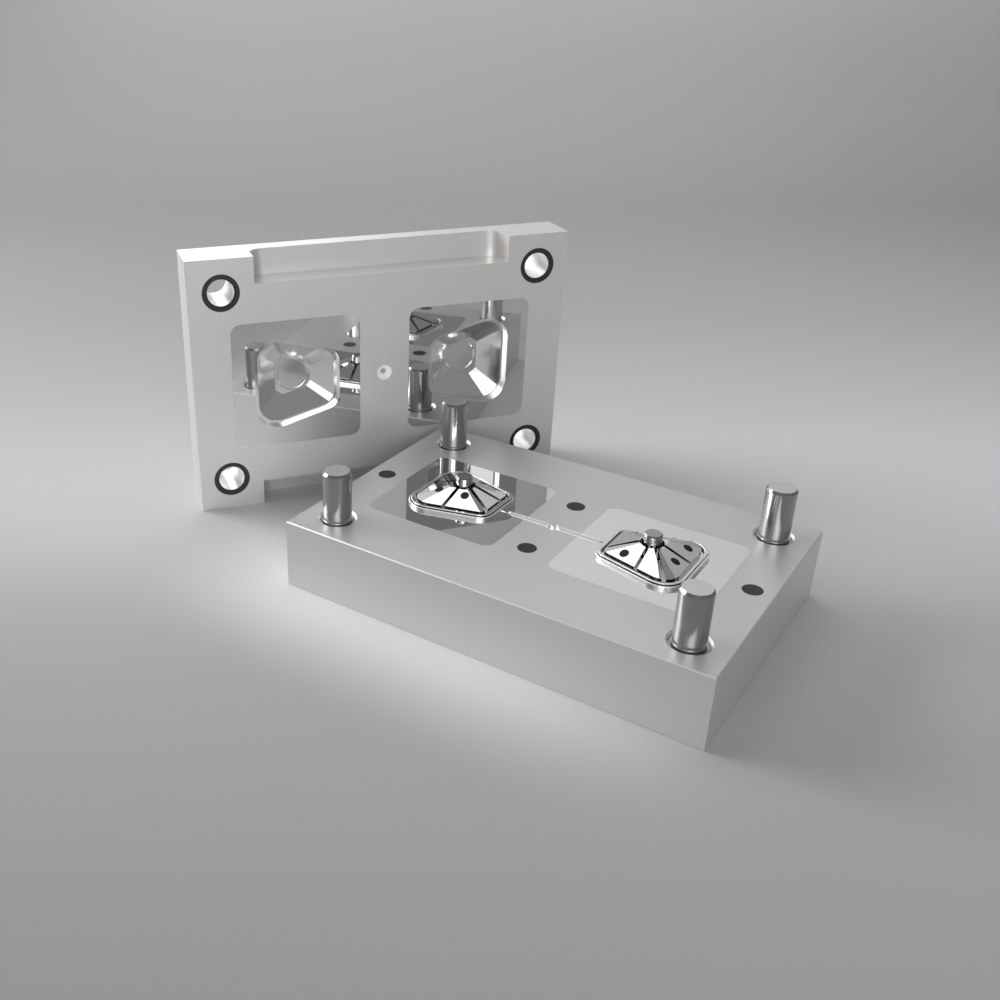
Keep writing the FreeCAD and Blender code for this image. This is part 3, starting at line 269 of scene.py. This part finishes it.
# The chamfers of the plates and guide pins are painted near white, a painted highlight
chamferHighlightLook = {"grey": 0.97, "roughness": 0.4, "slope": 0.7071, "reach": 0.05}
chamferHighlightSteel = plainSteel("chamferHighlightSteel", chamferHighlightLook)
chamfered = {"core_plate": upward, "cavity_plate": outward}
chamfered.update({name: upward for name in nodes if name.startswith("guide_pin")})
for name, facing in chamfered.items():
    refinish(nodes[name], chamferHighlightSteel, lambda centre, normal: (
        abs(normal.dot(facing) - chamferHighlightLook["slope"]) < chamferHighlightLook["reach"]))

# The guide pins' end faces are lighter than their sides
pinTopLook = {"grey": 0.7, "roughness": 0.3, "slope": 0.95}
pinTopSteel = plainSteel("pinTopSteel", pinTopLook)
for name, obj in nodes.items():
    if name.startswith("guide_pin"):
        refinish(obj, pinTopSteel, lambda centre, normal: normal.z > pinTopLook["slope"])

# The cavities are a little softer than the faces they are sunk in, and their rims are bright
cavityLook = {"grey": 0.85, "roughness": 0.12, "rim_grey": 0.8, "rim_roughness": 0.3,
              "rim_slope": 0.25}
cavitySteel = plainSteel("cavitySteel", cavityLook)
rimSteel = plainSteel("rimSteel", cavityLook, "rim_")
sunkFrom = outermost(nodes["cavity_insert_left"]) - skin
rimSlope = cavityLook["rim_slope"]
for name in ("cavity_insert_left", "cavity_insert_right", "cavity_pin_left", "cavity_pin_right"):
    refinish(nodes[name], cavitySteel, lambda centre, normal: (
        centre.dot(outward) < sunkFrom and normal.dot(outward) >= rimSlope))
    refinish(nodes[name], rimSteel, lambda centre, normal: (
        centre.dot(outward) < sunkFrom and abs(normal.dot(outward)) < rimSlope))

# The sprue bush is near white and mostly matte: a painted highlight that shows bright in the
# parting face
sprueHighlightLook = {"grey": 0.97, "roughness": 0.35, "metallic": 0.2}
nodes["sprue_bush"].data.materials[0] = plainSteel("sprueHighlightSteel", sprueHighlightLook)

# The ejector pins' ends are nearly black
pinEndLook = {"grey": 0.012, "roughness": 0.5, "specular": 0.2}
pinEndSteel, pinEndTree, pinEndShader = newMaterial("pinEndSteel")
pinEndShader.inputs["Base Color"].default_value = grey(pinEndLook["grey"])
pinEndShader.inputs["Roughness"].default_value = pinEndLook["roughness"]
pinEndShader.inputs["Specular IOR Level"].default_value = pinEndLook["specular"]
for name, obj in nodes.items():
    if name.startswith("ejector_pin_"):
        obj.data.materials[0] = pinEndSteel
print("materials set:", len(bpy.data.materials))


# Floor and backdrop

# Tones are marks along the run: distance, then level. They are painted light and shade: a pool of
# light near the mould that darkens towards the camera and into the bend, then grows lighter up the
# wall.
# Cross is the span from left to right over which cross_gain changes the level, painted shade on the
# left and painted light on the right. Glow is painted light: the light that the flat half throws on
# the floor before it, painted in a band round glow_line that fades out over the spans on the right
# and left.
stageLook = {
    "half_width": 4.0,
    "near": -2.0,
    "bend_start": 1.2,
    "bend_radius": 0.6,
    "bend_steps": 24,
    "height": 2.6,
    "turn": 35.9,
    "roughness": 0.9,
    "specular": 0.1,
    "cool": 0.015,
    # Painted light and shade: a pool of light near the mould, darker towards the camera and in the
    # bend
    "tones": ((-0.60, 0.20), (-0.27, 0.39), (-0.04, 0.42), (0.12, 0.67), (0.34, 0.49),
              (0.60, 0.40), (1.10, 0.31), (1.60, 0.38), (2.05, 0.41), (2.5, 0.82)),
    "wall_top": 0.88,
    "cross": (-0.9, 0.7),
    "cross_gain": (0.73, 1.20),
    "glow": 0.68,
    "glow_line": -0.10,
    "glow_reach": 0.10,
    "glow_right": (0.20, 0.0),
    "glow_left": (-0.27, -0.10),
}
stageTurn = math.radians(stageLook["turn"])


# The paper's painted light and shade go with the run t = y cos(turn) - x sin(turn) + z, away from
# the camera
def backdropPaper(look):
    material, tree, shader = newMaterial("backdropPaper")
    coordinates = tree.nodes.new("ShaderNodeTexCoord").outputs["Object"]

    def along(direction):
        node = tree.nodes.new("ShaderNodeVectorMath")
        node.operation = "DOT_PRODUCT"
        node.inputs[1].default_value = direction
        tree.links.new(coordinates, node.inputs[0])
        return node.outputs["Value"]

    def fade(source, span, gain):
        node = tree.nodes.new("ShaderNodeMapRange")
        node.interpolation_type = "SMOOTHSTEP"
        node.inputs["From Min"].default_value, node.inputs["From Max"].default_value = span
        node.inputs["To Min"].default_value, node.inputs["To Max"].default_value = gain
        tree.links.new(source, node.inputs["Value"])
        return node.outputs["Result"]

    def combine(operation, first, second):
        node = tree.nodes.new("ShaderNodeMath")
        node.operation = operation
        for socket, value in zip(node.inputs, (first, second)):
            if isinstance(value, float):
                socket.default_value = value
            else:
                tree.links.new(value, socket)
        return node.outputs["Value"]

    wallTop = look["bend_start"] + look["bend_radius"] + look["height"]
    stops = list(look["tones"]) + [(wallTop, look["wall_top"])]
    first, last = stops[0][0], stops[-1][0]
    share = tree.nodes.new("ShaderNodeMapRange")
    share.inputs["From Min"].default_value = first
    share.inputs["From Max"].default_value = last
    run = along((-math.sin(stageTurn), math.cos(stageTurn), 1.0))
    tree.links.new(run, share.inputs["Value"])
    ramp = tree.nodes.new("ShaderNodeValToRGB")
    ramp.color_ramp.interpolation = "B_SPLINE"
    marks = ramp.color_ramp.elements
    while len(marks) < len(stops):
        marks.new(0.5)
    for mark, (place, level) in zip(marks, stops):
        mark.position = (place - first) / (last - first)
        mark.color = (level * (1 - look["cool"]), level, level * (1 + look["cool"]), 1.0)
    tree.links.new(share.outputs["Result"], ramp.inputs["Fac"])

    # Painted shade on the left of the paper and painted light on its right
    across = along((math.cos(stageTurn), math.sin(stageTurn), 0.0))
    crossGain = fade(across, look["cross"], look["cross_gain"])
    axes = tree.nodes.new("ShaderNodeSeparateXYZ")
    tree.links.new(coordinates, axes.inputs[0])
    # Painted light: a band of light on the floor in front of the flat half
    fromLine = combine("SUBTRACT", axes.outputs["Y"], look["glow_line"])
    distance = combine("ABSOLUTE", fromLine, 0.0)
    band = fade(distance, (0.0, look["glow_reach"]), (look["glow"], 0.0))
    right = fade(axes.outputs["X"], look["glow_right"], (0.0, 1.0))
    left = fade(axes.outputs["X"], look["glow_left"], (0.0, 1.0))
    glow = combine("MULTIPLY", band, combine("MULTIPLY", right, left))
    glowGain = combine("ADD", glow, 1.0)
    toned = tree.nodes.new("ShaderNodeVectorMath")
    toned.operation = "SCALE"
    tree.links.new(ramp.outputs["Color"], toned.inputs[0])
    tree.links.new(combine("MULTIPLY", crossGain, glowGain), toned.inputs["Scale"])
    tree.links.new(toned.outputs["Vector"], shader.inputs["Base Color"])
    shader.inputs["Roughness"].default_value = look["roughness"]
    shader.inputs["Specular IOR Level"].default_value = look["specular"]
    return material


# Floor that runs back, bends up through a quarter circle and goes on as a wall. The profile is
# (t, 0) up to the bend, then the arc's centre (b, r) plus r (sin a, -cos a), then straight up.
def sweptBackdrop(look):
    angles = np.linspace(0.0, math.pi / 2, look["bend_steps"] + 1)
    start, radius = look["bend_start"], look["bend_radius"]
    run = [look["near"]] + list(start + radius * np.sin(angles)) + [start + radius]
    rise = [0.0] + list(radius - radius * np.cos(angles)) + [look["height"]]
    ahead = np.array([-math.sin(stageTurn), math.cos(stageTurn)])
    across = np.array([math.cos(stageTurn), math.sin(stageTurn)])
    verts, faces = [], []
    for distance, height in zip(run, rise):
        for sign in (-1, 1):
            place = ahead * distance + across * sign * look["half_width"]
            verts.append((place[0], place[1], height))
    for i in range(len(run) - 1):
        faces.append((2 * i, 2 * i + 1, 2 * i + 3, 2 * i + 2))
    mesh = bpy.data.meshes.new("backdrop")
    mesh.from_pydata(verts, [], faces)
    mesh.shade_smooth()
    obj = bpy.data.objects.new("backdrop", mesh)
    bpy.context.scene.collection.objects.link(obj)
    mesh.materials.append(backdropPaper(look))


sweptBackdrop(stageLook)


# Light

lampLooks = {
    "key": {
        "place": (-1.7, -0.55, 0.7), "aim": (-0.1, 0.0, 0.05), "size": (1.0, 1.0), "power": 22.0},
    "fill": {
        "place": (0.4, -1.8, 0.8), "aim": (-0.1, 0.0, 0.05), "size": (1.4, 0.8), "power": 3.5},
    "side": {
        "place": (1.1, -1.6, 0.7), "aim": (-0.1, 0.0, 0.05), "size": (1.2, 0.8), "power": 18.0},
    "top": {
        "place": (-0.75, 0.35, 1.9), "aim": (-0.05, 0.0, 0.05), "size": (1.4, 1.15), "power": 6.6},
    "left": {
        "place": (-1.6, -0.2, 0.9), "aim": (-0.2, 0.0, 0.1), "size": (0.8, 0.8), "power": 5.0},
    "rim": {
        "place": (-1.45, 1.0, 0.75), "aim": (-0.15, 0.1, 0.1), "size": (1.0, 0.5), "power": 4.5},
    "card": {
        "place": (1.67, -0.71, 0.18), "aim": (-0.16, 0.09, 0.06), "size": (0.8, 0.3),
        "power": 1.1},
    "wall": {
        "place": (0.1, 0.6, 2.5), "aim": (-0.9, 1.6, 2.0), "size": (1.0, 1.0), "power": 8.5},
}


def addLamp(name, look):
    data = bpy.data.lights.new(name, "AREA")
    data.shape = "RECTANGLE"
    data.size, data.size_y = look["size"]
    data.energy = look["power"]
    obj = bpy.data.objects.new(name, data)
    obj.location = look["place"]
    aim = Vector(look["aim"]) - Vector(look["place"])
    obj.rotation_euler = aim.to_track_quat("-Z", "Y").to_euler()
    bpy.context.scene.collection.objects.link(obj)


for name, look in lampLooks.items():
    addLamp(name, look)

worldLook = {"color": (0.24, 0.24, 0.245, 1.0), "strength": 1.0}
world = bpy.data.worlds.new("studio")
bpy.context.scene.world = world
world.use_nodes = True
worldShade = next(node for node in world.node_tree.nodes if node.type == "BACKGROUND")
worldShade.inputs["Color"].default_value = worldLook["color"]
worldShade.inputs["Strength"].default_value = worldLook["strength"]
print("stage and light set")


# Camera, at the photograph's angle and off-centre frame

view = {
    "place": (0.2794, -0.5994, 0.4097),
    "azimuth": 35.9,
    "elevation": 26.51,
    "sensor": 36.0,
    "lens": 39.56,
    "shift": (0.1331, -0.021),
}
cameraData = bpy.data.cameras.new("camera")
cameraData.sensor_width = view["sensor"]
cameraData.lens = view["lens"]
cameraData.shift_x, cameraData.shift_y = view["shift"]
camera = bpy.data.objects.new("camera", cameraData)
camera.location = view["place"]
tilt = math.radians(90.0 - view["elevation"])
camera.rotation_euler = (tilt, 0.0, math.radians(view["azimuth"]))
bpy.context.scene.collection.objects.link(camera)
bpy.context.scene.camera = camera
bpy.context.scene.view_settings.view_transform = "Standard"
